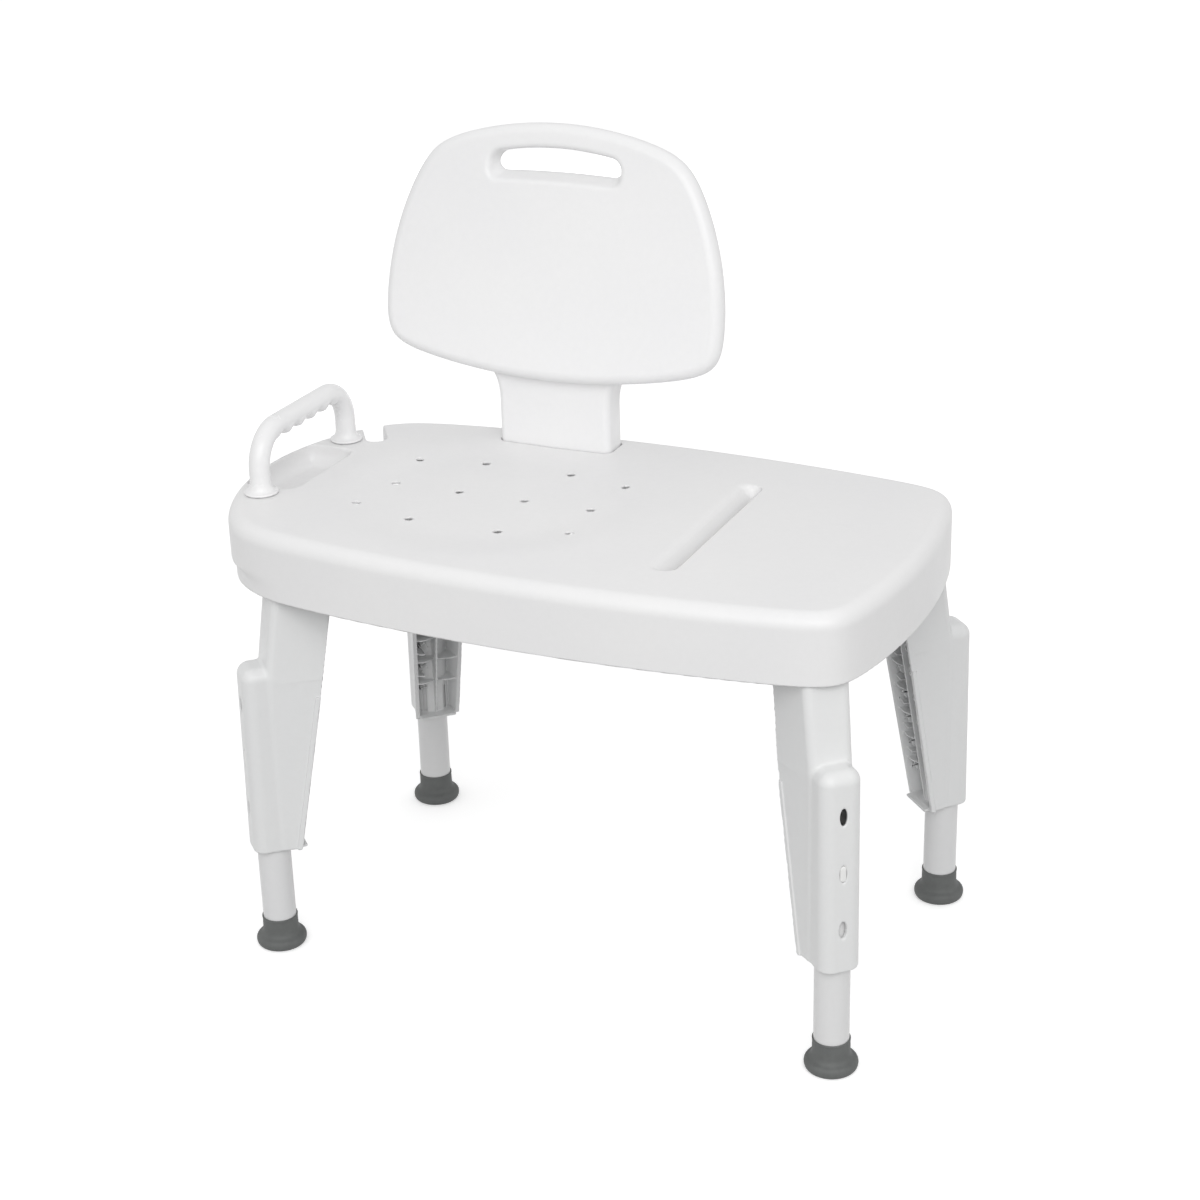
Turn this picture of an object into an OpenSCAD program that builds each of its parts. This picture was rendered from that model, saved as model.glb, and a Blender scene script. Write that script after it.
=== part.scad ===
// Bath transfer bench: moulded deck on four corner brackets with telescoping legs,
// a plug-in backrest and a grab handle at one end.
// Frame: X along the deck, -Y towards the sitter's front, Z up, origin on the floor.

/* [Deck] */
// Overall length of the deck
deck_l = 711; // [704:1:718]
// Overall depth of the deck
deck_d = 400; // [396:1:406]
// Height of the deck's top face above the floor, legs at the middle hole
deck_h = 459; // [456:1:464]
// Height of the skirt that hangs round the deck
skirt_h = 69; // [66:1:72]
// Wall thickness of the moulded deck
wall = 3; // [2.6:0.1:3.4]
// Radius of the deck's upper edge
edge_r = 12; // [9:1:14]
// Step between the wide upper band and the lower skirt at the handle end
band_step = 4; // [2:0.5:5]

/* [Seat area] */
// Place of the dished seat and the backrest along the deck
seat_x = -92; // [-96:1:-88]
// Depth of the dished seat
dish_depth = 4; // [2:0.5:5]
// Diameter of a drain hole
drain_d = 7.5; // [5:0.5:9]
// Length of the shower-curtain groove
groove_l = 232; // [200:2:240]
// Width of the shower-curtain groove
groove_w = 21; // [16:1:26]
// Depth of the shower-curtain groove
groove_depth = 12; // [8:1:16]

/* [Legs] */
// Distance between the left and right leg tubes
leg_span = 600; // [596:1:604]
// Distance between the front and rear leg tubes
leg_depth = 341; // [338:1:344]
// Outside diameter of a leg tube
tube_d = 33.8; // [33:0.1:34]
// Wall thickness of a leg tube
tube_wall = 2.4; // [2:0.1:3]
// Distance between two height holes
hole_pitch = 57.5; // [56:0.5:58]
// Height of the middle height hole above the floor
lock_z = 216; // [214:1:218]

/* [Backrest] */
// Lean of the backrest from upright, in degrees
back_lean = 11; // [9:0.5:12]
// Thickness of the backrest's rounded shell
back_t = 22; // [21:0.5:24]

/* [Grab handle] */
// Height of the handle above the deck
handle_h = 71; // [64:1:76]
// Distance between the handle's two posts
handle_span = 169; // [165:1:172]
// Diameter of the handle's posts
post_d = 21; // [19:1:22]

/* [Hidden] */
$fn = 64;
eps = 0.01;
play = 0.3;            // clearance between pieces that slide

// ---- outlines: a smooth blend of four arcs, seen from an inner point ----
// Distance along direction a from the origin to the circle [cx, cy, r]
function reach(a, c) =
    let (b = c[0] * cos(a) + c[1] * sin(a))
    b + sqrt(b * b - c[0] * c[0] - c[1] * c[1] + c[2] * c[2]);
// Distance to an arc; one marked 1 bounds only the end beyond its own centre
function bound(a, c) =
    let (t = reach(a, c))
    c[3] == 1 && t * cos(a) > c[0] ? c[2] / max(0.1, abs(sin(a))) : t;
// Blended distance: p sets how tight the corners are, first for the upper half, then the lower
function blend(a, arcs, p) =
    let (e = sin(a) >= 0 ? p[0] : p[1])
    pow([for (c = arcs) pow(bound(a, c), -e)] * [for (c = arcs) 1], -1 / e);
function rim_point(a, arcs, p) = blend(a, arcs, p) * [cos(a), sin(a)];
function rim_normal(a, arcs, p) =
    let (t = rim_point(a + 0.5, arcs, p) - rim_point(a - 0.5, arcs, p))
    [t[1], -t[0]] / norm(t);
// Outline moved inwards by d(a)
function outline(arcs, p, n, d) =
    [for (i = [0 : n - 1]) let (a = 360 * i / n) rim_point(a, arcs, p) - d * rim_normal(a, arcs, p)];

// ---- deck ----
deck_n = 120;
deck_p = [22, 22];
side_r = 1800;         // bow of the long sides
right_r = 610;         // bow of the right end
left_r = 243;          // round left end
bow_x = 19;            // where the long sides bow out most
deck_arcs = [[bow_x, side_r - deck_d / 2, side_r], [bow_x, deck_d / 2 - side_r, side_r],
             [deck_l / 2 - right_r, 0, right_r], [left_r - deck_l / 2, 0, left_r, 1]];
skirt_z = deck_h - skirt_h;
band_z = skirt_z + 19;
// 1 round the left end, 0 elsewhere
function left_end(a) =
    let (t = min(1, max(0, (abs(a - 180) - 24) / 18))) 1 - t * t * (3 - 2 * t);
function deck_ring(d, step, z) =
    [for (i = [0 : deck_n - 1])
        let (a = 360 * i / deck_n,
             q = rim_point(a, deck_arcs, deck_p)
                 - (d + step * left_end(a)) * rim_normal(a, deck_arcs, deck_p))
        [q[0], q[1], z]];

// Closed solid through rings of equal length, lowest first
module loft(rings) {
    n = len(rings[0]);
    m = len(rings);
    points = [for (r = rings) for (q = r) q];
    sides = [for (k = [0 : m - 2]) for (i = [0 : n - 1])
             let (j = (i + 1) % n)
             each [[k * n + i, (k + 1) * n + i, k * n + j],
                   [k * n + j, (k + 1) * n + i, (k + 1) * n + j]]];
    bottom = [[for (i = [0 : n - 1]) i]];
    top = [[for (i = [n - 1 : -1 : 0]) (m - 1) * n + i]];
    polyhedron(points, concat(bottom, sides, top));
}

module slot_2d(length, width) {
    square([length - width, width], center = true);
    for (s = [-1, 1]) translate([s * (length - width) / 2, 0]) circle(d = width);
}

module deck_outer() {
    loft(concat([deck_ring(0, band_step, skirt_z), deck_ring(0, band_step, band_z - 0.2),
                 deck_ring(0, 0, band_z)],
                [for (f = [0 : 22.5 : 90])
                    deck_ring(edge_r * (1 - cos(f)), 0, deck_h - edge_r + edge_r * sin(f))]));
}

module deck_hollow(gap, top) {
    translate([0, 0, skirt_z - 1])
        linear_extrude(top - skirt_z + 1)
            polygon([for (q = deck_ring(gap, band_step, 0)) [q[0], q[1]]]);
}

// Drain holes: places measured from the middle of the seat
drain_rows = [[36, 0], [108, 0], [48, 83], [116, 66]];
drains = [for (d = drain_rows) for (sx = [-1, 1]) for (sy = d[1] == 0 ? [1] : [-1, 1]) [sx * d[0], sy * d[1]]];

// Handle, soap tray and hose notch at the left end
handle_x = -deck_l / 2 + 48;
handle_y = 2.5;
tray_depth = 22;
tray_x0 = -deck_l / 2 + 10;
tray_x1 = -deck_l / 2 + 72;
tray_l = 126;
notch_w = 22;
notch_at = [-281, 104];
notch_turn = 125;

// Backrest plug and its socket
neck_w = 126;
neck_t = 35;
neck_y = 162;          // middle of the neck's thickness
plug_w = 112;
plug_t = 25;
plug_depth = 58;

curtain_at = [145, -8];
rib_z = deck_h - 28;           // lower edge of the stiffening ribs
rib_h = 22;

module tray_2d() {
    intersection() {
        polygon([for (q = deck_ring(9, 0, 0)) [q[0], q[1]]]);
        translate([(tray_x0 + tray_x1) / 2, 0])
            union() {
                square([tray_x1 - tray_x0 - 30, tray_l], center = true);
                square([tray_x1 - tray_x0, tray_l - 30], center = true);
                for (sx = [-1, 1]) for (sy = [-1, 1])
                    translate([sx * ((tray_x1 - tray_x0) / 2 - 15), sy * (tray_l / 2 - 15)]) circle(r = 15);
            }
    }
}

module notch_2d(grow) {
    translate(notch_at) rotate(notch_turn) {
        circle(d = notch_w + 2 * grow);
        translate([0, -notch_w / 2 - grow]) square([70, notch_w + 2 * grow]);
    }
}

// Leg places and turns, by name
leg_x = 28.5;          // middle of the four legs, along the deck
function leg_at(side, end) = [leg_x + side * leg_span / 2, end * leg_depth / 2];
function leg_turn(side, end) = atan2(end, side);

// Bracket in its own frame: +X outwards along the corner's diagonal, origin at the tube's foot
bracket_z0 = 114;
bracket_z1 = 440;
knee_z = 300;
boss_x = 22.4;
boss_draft = 2.8;       // how much the boss leans in towards its top
boss_w = 20.5;
boss_top = 316;
function face_x(z) = z < knee_z ? -2 : -2 - 0.155 * (z - knee_z);
function inner_x(z) = -24.5 - 0.179 * (z - bracket_z0);
function face_w(z) = z < knee_z ? boss_w : boss_w + 0.02 * (z - knee_z);
function inner_w(z) = z < knee_z ? 24 + 0.032 * (z - bracket_z0) : 30 - 0.015 * (z - knee_z);
screw_places = [[-38, 0], [-66, 0]];
screw_d = 4;

module at_leg(side, end) {
    translate([leg_at(side, end)[0], leg_at(side, end)[1], 0]) rotate(leg_turn(side, end)) children();
}

module all_legs() {
    for (side = [-1, 1]) for (end = [-1, 1]) at_leg(side, end) children();
}

module seat_deck() {
    color("white") difference() {
        union() {
            difference() {
                deck_outer();
                deck_hollow(wall, deck_h - wall - dish_depth);
            }
            intersection() {
                deck_hollow(wall - 0.4, deck_h - wall);
                deck_inside();
            }
        }
        // dished seat
        translate([seat_x, 0, deck_h - dish_depth])
            cylinder(r1 = 112, r2 = 168, h = dish_depth + eps, $fn = 96);
        for (d = drains) translate([seat_x + d[0], d[1], deck_h - 30]) cylinder(d = drain_d, h = 40, $fn = 32);
        // curtain groove, soap tray, hose notch
        translate([curtain_at[0], curtain_at[1], deck_h - groove_depth]) linear_extrude(groove_depth + 1)
            rotate(90) slot_2d(groove_l, groove_w);
        translate([0, 0, deck_h - tray_depth]) linear_extrude(tray_depth + 1) tray_2d();
        translate([0, 0, skirt_z - 1]) linear_extrude(skirt_h + 2) notch_2d(0);
        // backrest socket
        translate([seat_x, neck_y, deck_h - plug_depth - 2])
            linear_extrude(plug_depth + 3) square([plug_w + 2 * play, plug_t + 2 * play], center = true);
        // handle screw holes
        for (s = [-1, 1]) translate([handle_x, handle_y + s * handle_span / 2, deck_h - 60])
            cylinder(d = 6, h = 70, $fn = 32);
        // pilot holes for the leg screws
        all_legs() for (q = screw_places)
            translate([q[0], q[1], bracket_z1 - eps]) cylinder(d = screw_d, h = 11, $fn = 24);
    }
}

// Everything moulded on the deck's underside
module deck_inside() {
    // groove, tray and notch walls
    translate([curtain_at[0], curtain_at[1], deck_h - groove_depth - wall]) linear_extrude(groove_depth)
        rotate(90) slot_2d(groove_l + 2 * wall, groove_w + 2 * wall);
    translate([0, 0, deck_h - tray_depth - wall]) linear_extrude(tray_depth)
        translate([(tray_x0 + tray_x1) / 2, 0])
            square([tray_x1 - tray_x0 + 2 * wall, tray_l + 2 * wall], center = true);
    translate([0, 0, skirt_z]) linear_extrude(skirt_h - 5) notch_2d(wall);
    // backrest socket
    translate([seat_x, neck_y, deck_h - plug_depth - 2]) linear_extrude(plug_depth - 2)
        square([plug_w + 2 * wall + 1, plug_t + 2 * wall + 1], center = true);
    // handle posts' seats
    for (s = [-1, 1]) translate([handle_x, handle_y + s * handle_span / 2, deck_h - 20])
        cylinder(d = 26, h = 16, $fn = 48);
    // bosses that the leg screws bite into
    all_legs() for (q = screw_places)
        translate([q[0], q[1], bracket_z1]) cylinder(d = 11, h = deck_h - bracket_z1 - wall, $fn = 32);
    // stiffening ribs
    difference() {
        union() {
            for (x = [-250 : 62 : 246]) translate([x, 0, rib_z + rib_h / 2])
                cube([2.4, deck_d, rib_h], center = true);
            for (y = [-126, -63, 0, 63, 126]) translate([0, y, rib_z + rib_h / 2])
                cube([deck_l - 60, 2.4, rib_h], center = true);
        }
        all_legs() translate([-56, 0, rib_z]) cube([92, 76, 60], center = true);
        for (d = drains) translate([seat_x + d[0], d[1], rib_z - 10]) cylinder(d = 16, h = 60, $fn = 24);
    }
}

// ---- leg bracket ----
module rod(x, y, z, r) {
    translate([x, y, z]) cylinder(r1 = r, r2 = 0.97 * r, h = eps, $fn = 32);
}

// Section corners of the channel at height z, moved in by d; open moves the inner side out
module channel_corners(z, d, open) {
    r = 6 - d;
    for (s = [-1, 1]) {
        rod(face_x(z) - d - r, s * (face_w(z) - d - r), z, r);
        rod(inner_x(z) - open, s * (inner_w(z) - d - 0.5), z, 0.5);
    }
}

module channel_solid(z0, z1, d, open) {
    hull() {
        channel_corners(z0, d, open);
        channel_corners(z1, d, open);
    }
}

module boss_solid() {
    shoulder = 13;
    corner = 13;
    top_x = boss_x - boss_draft;
    intersection() {
        translate([0, 0, bracket_z0]) linear_extrude(boss_top - bracket_z0) union() {
            translate([-12, -boss_w]) square([boss_x + 12 - corner, 2 * boss_w]);
            translate([-12, corner - boss_w]) square([boss_x + 12, 2 * (boss_w - corner)]);
            for (s = [-1, 1]) translate([boss_x - corner, s * (boss_w - corner)]) circle(r = corner);
        }
        // rounded top seen from the side
        rotate([90, 0, 0]) linear_extrude(2 * boss_w + 2, center = true) union() {
            translate([-20, 0]) square([20 + top_x - shoulder, boss_top]);
            polygon([[-20, 0], [boss_x, 0], [boss_x, bracket_z0],
                     [top_x, boss_top - shoulder], [-20, boss_top - shoulder]]);
            translate([top_x - shoulder, boss_top - shoulder]) circle(r = shoulder);
        }
        // rounded top seen from the front
        rotate([90, 0, 90]) linear_extrude(80, center = true) union() {
            translate([shoulder - boss_w, 0]) square([2 * (boss_w - shoulder), boss_top]);
            translate([-boss_w, 0]) square([2 * boss_w, boss_top - shoulder]);
            for (s = [-1, 1]) translate([s * (boss_w - shoulder), boss_top - shoulder]) circle(r = shoulder);
        }
    }
}

hole_h = 17;           // height holes for the snap button
hole_w = 7;
bore_r = tube_d / 2 + play;
guide_top = 302;
sleeve_t = 2;
spine_z = 358;
rib_heights = [148, 176, 204, 232, 260, 288, 322, 356];

module leg_bracket(side, end) {
    color("white") at_leg(side, end) difference() {
        union() {
            difference() {
                union() {
                    channel_solid(bracket_z0, knee_z, 0, 0);
                    channel_solid(knee_z, bracket_z1, 0, 0);
                    boss_solid();
                }
                channel_solid(bracket_z0 + 3, knee_z + 1, 3, 12);
                channel_solid(knee_z, bracket_z1 - 3, 3, 16);
            }
            // sleeve that guides the tube
            translate([0, 0, bracket_z0]) cylinder(r = bore_r + sleeve_t, h = guide_top - bracket_z0);
            // floor lip at the open side
            translate([inner_x(bracket_z0) - 6, -20, bracket_z0]) cube([24, 40, 3]);
            // cross ribs and spine
            for (z = rib_heights) translate([0, 0, z]) linear_extrude(2) cross_rib_2d(z);
            rotate([90, 0, 0]) linear_extrude(2.4, center = true)
                polygon([[-16, bracket_z0], [inner_x(bracket_z0) + 5, bracket_z0],
                         [inner_x(spine_z) + 7, spine_z], [face_x(spine_z) - 2, spine_z], [-16, guide_top]]);
            // turned-out edges of the wings
            for (s = [-1, 1]) wing_lip(s);
        }
        translate([0, 0, bracket_z0 - 1]) cylinder(r = bore_r, h = guide_top - bracket_z0);
        for (k = [-1, 0, 1]) translate([0, 0, lock_z + k * hole_pitch])
            rotate([90, 0, 90]) linear_extrude(60) rotate(90) slot_2d(hole_h, hole_w);
        for (q = screw_places) translate([q[0], q[1], bracket_z1 - 5])
            cylinder(d = 4.6, h = 10, $fn = 24);
    }
}

module cross_rib_2d(z) {
    x0 = z < 300 ? -14 : face_x(z) - 2;
    x1 = inner_x(z) + 6;
    polygon([[x0, -face_w(z) + 2], [x1, -inner_w(z) + 2], [x1, inner_w(z) - 2], [x0, face_w(z) - 2]]);
}

lip_z = 282;
module wing_lip(s) {
    hull() for (z = [bracket_z0, lip_z]) for (q = [[0, 0.6], [5, 0.6], [0, -1.2], [5, -1.2]])
        rod(inner_x(z) + q[0], s * (inner_w(z) - q[0] * 0.05 + q[1]), z, 0.4);
}

// ---- telescoping leg ----
tube_z0 = 6;
tube_z1 = 240;
button_reach = 4;
button_w = 5.8;
button_h = 15.6;
plate_x = tube_d / 2 - tube_wall - 4.5;   // back of the plate that keeps the button in the tube
plate_t = 2;

module leg_tube(side, end) {
    color("whitesmoke") at_leg(side, end) difference() {
        translate([0, 0, tube_z0]) cylinder(d = tube_d, h = tube_z1 - tube_z0);
        translate([0, 0, tube_z0 - 1]) cylinder(d = tube_d - 2 * tube_wall, h = tube_z1 - tube_z0 + 2);
        translate([0, 0, lock_z]) rotate([90, 0, 90]) linear_extrude(40)
            rotate(90) slot_2d(button_h + 1, button_w + 1);
    }
}

module snap_button(side, end) {
    color("white") at_leg(side, end) {
        translate([plate_x + 0.5, 0, lock_z]) rotate([90, 0, 90])
            linear_extrude(tube_d / 2 + button_reach - plate_x - 0.5) rotate(90) slot_2d(button_h, button_w);
        translate([plate_x, 0, lock_z]) rotate([90, 0, 90])
            linear_extrude(plate_t) square([12, 19], center = true);
    }
}

// Bent leaf: one leg behind the button, one against the far wall, joined by a half-round
leaf_t = 0.8;
leaf_w = 8;
leaf_h = 42;
leaf_z = lock_z - 34;  // where the leaf starts to bend round
leaf_x = plate_x - leaf_t;
leaf_r = 11.9;
module button_spring(side, end) {
    color("silver") at_leg(side, end) rotate([90, 0, 0]) linear_extrude(leaf_w, center = true) {
        translate([leaf_x, leaf_z]) square([leaf_t, leaf_h]);
        translate([plate_x - 2 * leaf_r, leaf_z]) square([leaf_t, leaf_h]);
        translate([plate_x - leaf_r, leaf_z]) difference() {
            circle(r = leaf_r);
            circle(r = leaf_r - leaf_t);
            translate([-leaf_r - 1, 0]) square([2 * leaf_r + 2, leaf_r + 1]);
        }
    }
}

tip_h = 33;
module foot_tip(side, end) {
    color([0.4, 0.41, 0.4]) at_leg(side, end) difference() {
        rotate_extrude($fn = 96) polygon([[0, 0], [22, 0], [24.4, 1.6], [25.7, 5.5], [25.3, 8.5],
            [23.4, 11], [20.6, 13], [18.9, 16], [18, tip_h - 1], [17.6, tip_h], [0, tip_h]]);
        translate([0, 0, tube_z0]) cylinder(d = tube_d, h = 40);
    }
}

// ---- backrest: outline in its own plane, w up from the deck, measured from its middle ----
back_mid = 190;        // height of the outline's inner point above the deck
back_half = 189;
back_top = 333;
back_bottom = 73;
back_side_r = 300;
back_side_w = 141;     // height at which the backrest is widest
back_top_r = 375;
back_low_r = 700;
back_p = [25, 15];
back_n = 88;
back_arcs = [[0, back_top - back_top_r - back_mid, back_top_r],
             [0, back_bottom + back_low_r - back_mid, back_low_r],
             [back_half - back_side_r, back_side_w - back_mid, back_side_r],
             [back_side_r - back_half, back_side_w - back_mid, back_side_r]];
function back_ring(d, v) =
    [for (q = outline(back_arcs, back_p, back_n, d)) [q[0], q[1] + back_mid, v]];
round_r = 10;
slot_w = 294;          // height of the hand slot above the deck
slot_l = 142;
slot_h = 28;
slot_bow = 330;        // bow of the hand slot
panel_y = 111;         // front face of the panel at the deck's height

// The panel's plane: x along the deck, y up the panel, z towards the sitter
module back_plane() {
    translate([seat_x, panel_y + back_t, deck_h]) rotate([90 - back_lean, 0, 0]) children();
}

module hand_slot_2d(grow) {
    intersection() {
        translate([0, slot_w - slot_bow]) difference() {
            circle(r = slot_bow + slot_h / 2 + grow, $fn = 180);
            circle(r = slot_bow - slot_h / 2 - grow, $fn = 180);
        }
        translate([0, slot_w - 3]) slot_2d(slot_l + 2 * grow, 46 + 2 * grow);
    }
}

// Shell of the panel between its rounded front and back edges, moved in by d
module panel_solid(d) {
    r = round_r - d;
    arc = [0 : 22.5 : 90];
    loft(concat([for (f = arc) back_ring(d + r * (1 - sin(f)), d + r - r * cos(f))],
                [for (f = arc) back_ring(d + r * (1 - cos(f)), back_t - d - r + r * sin(f))]));
}

// Neck seen from the right: upright box that runs up behind the panel
module neck_solid(d) {
    neck_front = neck_y - neck_t / 2 + d;
    neck_back = neck_y + neck_t / 2 - d;
    translate([seat_x, 0, 0]) rotate([90, 0, 90]) linear_extrude(neck_w - 2 * d, center = true)
        polygon([[neck_front, deck_h + d], [neck_back, deck_h + d], [neck_back, deck_h + 92],
                 [neck_back - 6, deck_h + 130 - d], [neck_front, deck_h + 130 - d]]);
}

module backrest() {
    color("white") difference() {
        union() {
            back_plane() panel_solid(0);
            neck_solid(0);
            translate([seat_x, neck_y, deck_h - plug_depth]) linear_extrude(plug_depth + 1)
                square([plug_w, plug_t], center = true);
        }
        difference() {
            back_plane() panel_solid(wall);
            back_plane() linear_extrude(back_t) hand_slot_2d(wall);
        }
        neck_solid(wall);
        translate([seat_x, neck_y, deck_h - plug_depth - 1]) linear_extrude(plug_depth + 6)
            square([plug_w - 2 * wall, plug_t - 2 * wall], center = true);
        back_plane() translate([0, 0, -2]) linear_extrude(back_t + 4) hand_slot_2d(0);
    }
}

// ---- grab handle ----
bend_r = 36;
grip_z = deck_h + handle_h - post_d / 2;
module grab_handle() {
    color("white") translate([handle_x, handle_y, 0]) difference() {
        union() {
            for (s = [-1, 1]) {
                translate([0, s * handle_span / 2, deck_h]) {
                    cylinder(d1 = 34, d2 = 32, h = 3);
                    translate([0, 0, 3]) cylinder(d1 = 30, d2 = post_d, h = 7);
                    cylinder(d = post_d, h = grip_z - bend_r - deck_h);
                }
                translate([0, s * (handle_span / 2 - bend_r), grip_z - bend_r])
                    rotate([0, -90, 0]) rotate(s > 0 ? 0 : -90) rotate_extrude(angle = 90)
                        translate([bend_r, 0]) circle(d = post_d);
            }
            translate([0, 0, grip_z]) rotate([90, 0, 0])
                cylinder(d = post_d, h = handle_span - 2 * bend_r, center = true);
        }
        for (s = [-1, 1]) translate([0, s * handle_span / 2, deck_h - 1])
            cylinder(d = screw_d, h = 17, $fn = 24);
    }
}

module screw(length, head_d) {
    cylinder(d = head_d, h = 3, $fn = 32);
    cylinder(d = screw_d, h = length, $fn = 24);
}

module handle_screws() {
    color("silver") for (s = [-1, 1]) translate([handle_x, handle_y + s * handle_span / 2, deck_h - 23])
        screw(36, 10);
}

module leg_screws() {
    color("silver") all_legs() for (q = screw_places)
        translate([q[0], q[1], bracket_z1 - 6]) screw(15, 8);
}

seat_deck();
backrest();
grab_handle();
handle_screws();
leg_screws();
leg_bracket(-1, -1);  // leg_bracket_fl
leg_bracket(1, -1);  // leg_bracket_fr
leg_bracket(-1, 1);  // leg_bracket_bl
leg_bracket(1, 1);  // leg_bracket_br
leg_tube(-1, -1);  // leg_tube_fl
leg_tube(1, -1);  // leg_tube_fr
leg_tube(-1, 1);  // leg_tube_bl
leg_tube(1, 1);  // leg_tube_br
foot_tip(-1, -1);  // foot_tip_fl
foot_tip(1, -1);  // foot_tip_fr
foot_tip(-1, 1);  // foot_tip_bl
foot_tip(1, 1);  // foot_tip_br
snap_button(-1, -1);  // snap_button_fl
snap_button(1, -1);  // snap_button_fr
snap_button(-1, 1);  // snap_button_bl
snap_button(1, 1);  // snap_button_br
button_spring(-1, -1);  // button_spring_fl
button_spring(1, -1);  // button_spring_fr
button_spring(-1, 1);  // button_spring_bl
button_spring(1, 1);  // button_spring_br
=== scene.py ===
import math
import bpy
import numpy as np
from mathutils import Matrix, Vector


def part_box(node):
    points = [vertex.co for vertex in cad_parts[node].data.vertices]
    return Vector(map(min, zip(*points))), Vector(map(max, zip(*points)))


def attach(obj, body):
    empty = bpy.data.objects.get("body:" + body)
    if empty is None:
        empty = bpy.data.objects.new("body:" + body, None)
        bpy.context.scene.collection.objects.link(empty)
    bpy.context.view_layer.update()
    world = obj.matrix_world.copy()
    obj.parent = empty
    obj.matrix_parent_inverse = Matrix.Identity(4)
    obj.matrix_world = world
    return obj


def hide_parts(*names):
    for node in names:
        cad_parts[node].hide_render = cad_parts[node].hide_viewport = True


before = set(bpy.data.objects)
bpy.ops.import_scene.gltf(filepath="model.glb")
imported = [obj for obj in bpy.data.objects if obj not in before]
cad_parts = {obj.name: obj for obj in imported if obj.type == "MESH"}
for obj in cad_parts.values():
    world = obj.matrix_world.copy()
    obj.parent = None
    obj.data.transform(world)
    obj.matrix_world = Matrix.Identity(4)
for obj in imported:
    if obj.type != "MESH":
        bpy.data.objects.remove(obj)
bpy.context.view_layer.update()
MM = 0.001

# Bath transfer bench. The moulded pieces are meshed from distance functions, which are negative
# inside the plastic. All lengths are in millimetres until a mesh is made, and z is up.

# ---------------------------------------------------------------- places taken from the CAD
deck_lo, deck_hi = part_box("seat_deck")
back_lo, back_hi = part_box("backrest")
grip_lo, grip_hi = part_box("grab_handle")
screws_lo, screws_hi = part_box("handle_screws")
tube_lo, tube_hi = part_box("leg_tube_fl")

TOP_Z = 1000 * grip_lo.z                     # top face of the deck
SKIRT_Z = 1000 * deck_lo.z                   # lower edge of the skirt
DECK_L, DECK_D = 1000 * (deck_hi.x - deck_lo.x), 400.0
SEAT_X = 500 * (back_lo.x + back_hi.x)       # middle of the seat and of the backrest
HANDLE_X, HANDLE_Y, HANDLE_HALF = 1000 * (screws_lo.x + screws_hi.x) / 2, 2.5, 84.5
LEG_X, LEG_HALF, LEG_Y = 28.5, 300.0, 170.5  # legs at LEG_X +- LEG_HALF and at +- LEG_Y
LEG_SCREWS = (-38, -66)                      # screws of a bracket, inwards from its leg
TUBE_LO, TUBE_HI = 1000 * tube_lo.z, 1000 * tube_hi.z
WALL = 3.2
COS45 = 0.70711


# ---------------------------------------------------------------- distance-function tools
def smax(a, b, k):
    """Larger of two distances, blended over the width k."""
    h = np.maximum(k - np.abs(a - b), 0) / k
    return np.maximum(a, b) + h * h * k * 0.25


def smin(a, b, k):
    """Smaller of two distances, blended over the width k."""
    return -smax(-a, -b, k)


def rmax(a, b, r):
    """What two shapes share, with the edge between them rounded to radius r."""
    u = np.maximum(a + r, 0)
    v = np.maximum(b + r, 0)
    return np.minimum(np.maximum(a, b), -r) + np.sqrt(u * u + v * v)


def union(first, *rest):
    for d in rest:
        first = np.minimum(first, d)
    return first


def meet(first, *rest):
    for d in rest:
        first = np.maximum(first, d)
    return first


def step(a, b, x):
    """Smooth step from 0 at a to 1 at b."""
    t = np.clip((x - a) / (b - a), 0, 1)
    return t * t * (3 - 2 * t)


def box2(x, y, hx, hy, r):
    """Rectangle of half sizes hx and hy, with corners of radius r."""
    qx = np.abs(x) - hx + r
    qy = np.abs(y) - hy + r
    return np.hypot(np.maximum(qx, 0), np.maximum(qy, 0)) + np.minimum(np.maximum(qx, qy), 0) - r


def capsule2(x, y, half, r):
    """Slot along y with round ends."""
    return np.hypot(x, y - np.clip(y, -half, half)) - r


def stripes(v, origin, pitch, half):
    """Evenly spaced walls, one of them at the origin."""
    return np.abs((v - origin + pitch / 2) % pitch - pitch / 2) - half


class Outline:
    """Closed outline blended from four arcs, as a table of radius against direction.

    An arc is a centre and a radius, with a fourth value if it runs straight on past its centre.
    Power says how sharply the arcs meet, at the rear and at the front.
    """

    def __init__(self, arcs, power, n=2880):
        angle = np.arange(n) * 2 * np.pi / n
        ca, sa = np.cos(angle), np.sin(angle)
        e = np.where(sa >= 0, power[0], power[1])
        total = 0
        for cx, cy, radius, *straight in arcs:
            b = cx * ca + cy * sa
            reach = b + np.sqrt(b * b - cx ** 2 - cy ** 2 + radius ** 2)
            if straight:
                reach = np.where(reach * ca > cx, radius / np.maximum(0.1, np.abs(sa)), reach)
            total = total + reach ** (-e)
        r = total ** (-1 / e)
        slope = (np.roll(r, -1) - np.roll(r, 1)) / (4 * np.pi / n)
        cosine = r / np.hypot(r, slope)
        self.n = n
        self.r = np.append(r, r[0])
        self.cosine = np.append(cosine, cosine[0])

    def __call__(self, x, y):
        t = (np.arctan2(y, x) / (2 * np.pi) % 1.0) * self.n
        i = np.minimum(t.astype(np.int32), self.n - 1)
        f = t - i
        r = self.r[i] * (1 - f) + self.r[i + 1] * f
        cosine = self.cosine[i] * (1 - f) + self.cosine[i + 1] * f
        return (np.hypot(x, y) - r) * cosine


# ---------------------------------------------------------------- meshes of distance functions
BLOCK = 4  # grid steps in a coarse block
CORNERS = [(a, b, c) for a in (0, 1) for b in (0, 1) for c in (0, 1)]
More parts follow.
